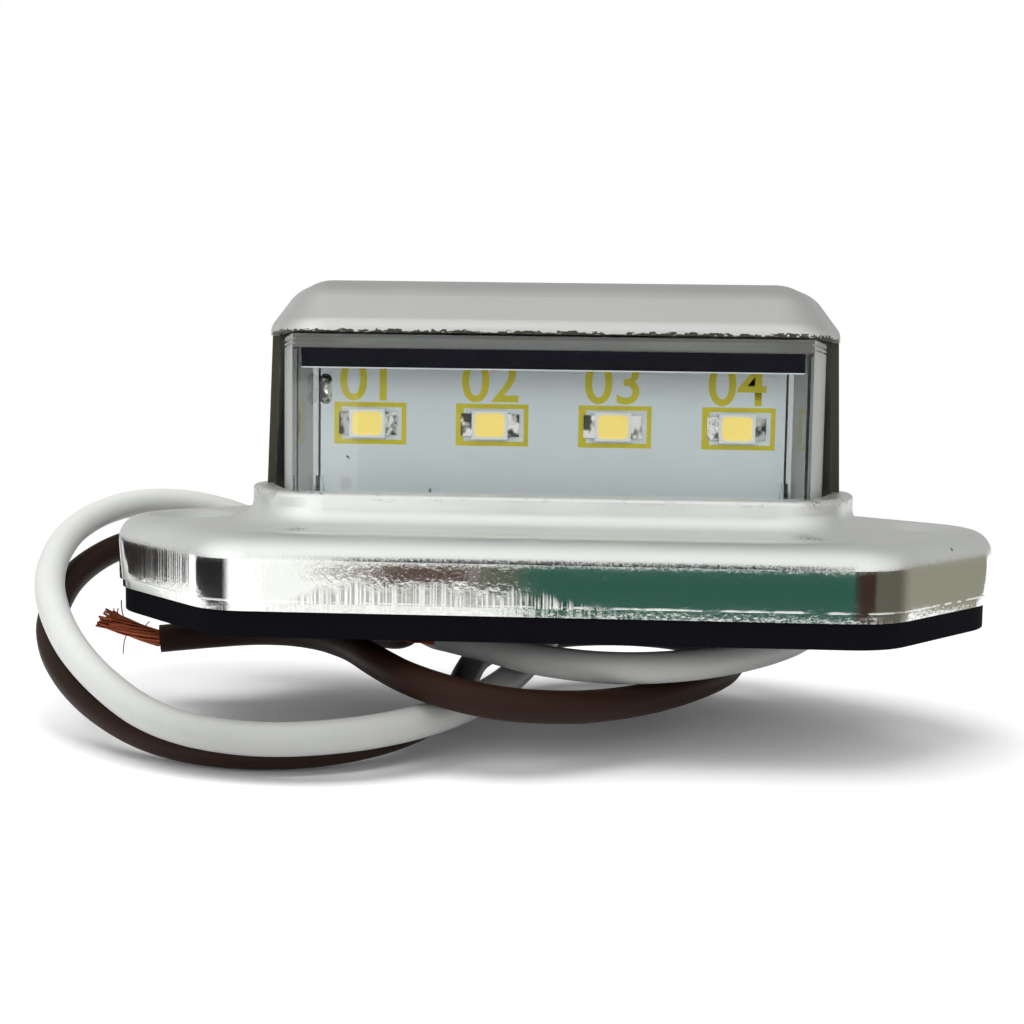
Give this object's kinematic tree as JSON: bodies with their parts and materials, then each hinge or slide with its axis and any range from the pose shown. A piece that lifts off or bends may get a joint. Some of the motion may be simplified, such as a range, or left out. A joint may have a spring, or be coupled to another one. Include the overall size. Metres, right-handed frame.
{
  "type": "number plate lamp",
  "caption": "Screw-on number plate lamp with a polished metal cover, a clear lens under a visor, a row of LEDs on an upright board, a foam gasket and loose bare-ended leads.",
  "frame": {"origin": "middle of the gasket's underside, between the screw holes, where the lamp meets its panel", "axes": "+X along the lamp, -Y the way the lens faces, +Z away from the panel"},
  "size_m": [0.0988, 0.0518, 0.0445],
  "materials": {
    "cover_metal": "polished pressing, satin on the hood",
    "clear_lens": "clear and glossy",
    "black_strip": "matt black",
    "board_white": "white solder mask",
    "led_white": "moulded white",
    "phosphor": "silicone with yellow phosphor",
    "solder": "bright tin solder",
    "component_black": "moulded black",
    "base_black": "matt black",
    "gasket_foam": "matt black foam",
    "grommet_rubber": "soft matt black",
    "white_insulation": "satin PVC",
    "brown_insulation": "satin PVC",
    "copper": "bare stranded copper"
  },
  "bodies": {
    "root": {"cover_shell": "cover_metal", "lens": "clear_lens", "baffle_strip": "black_strip", "circuit_board": "board_white", "led_solder_joints": "solder", "lead_solder_joints": "solder", "resistor_1": "component_black", "resistor_2": "component_black", "protection_diode": "component_black", "base_plate": "base_black", "wire_grommet": "grommet_rubber", "gasket": "gasket_foam", "white_lead": "white_insulation", "brown_lead": "brown_insulation", "white_lead_strands": "copper", "brown_lead_strands": "copper", "led_housing_1": "led_white", "led_phosphor_1": "phosphor", "led_housing_2": "led_white", "led_phosphor_2": "phosphor", "led_housing_3": "led_white", "led_phosphor_3": "phosphor", "led_housing_4": "led_white", "led_phosphor_4": "phosphor"}
  },
  "joints": []
}
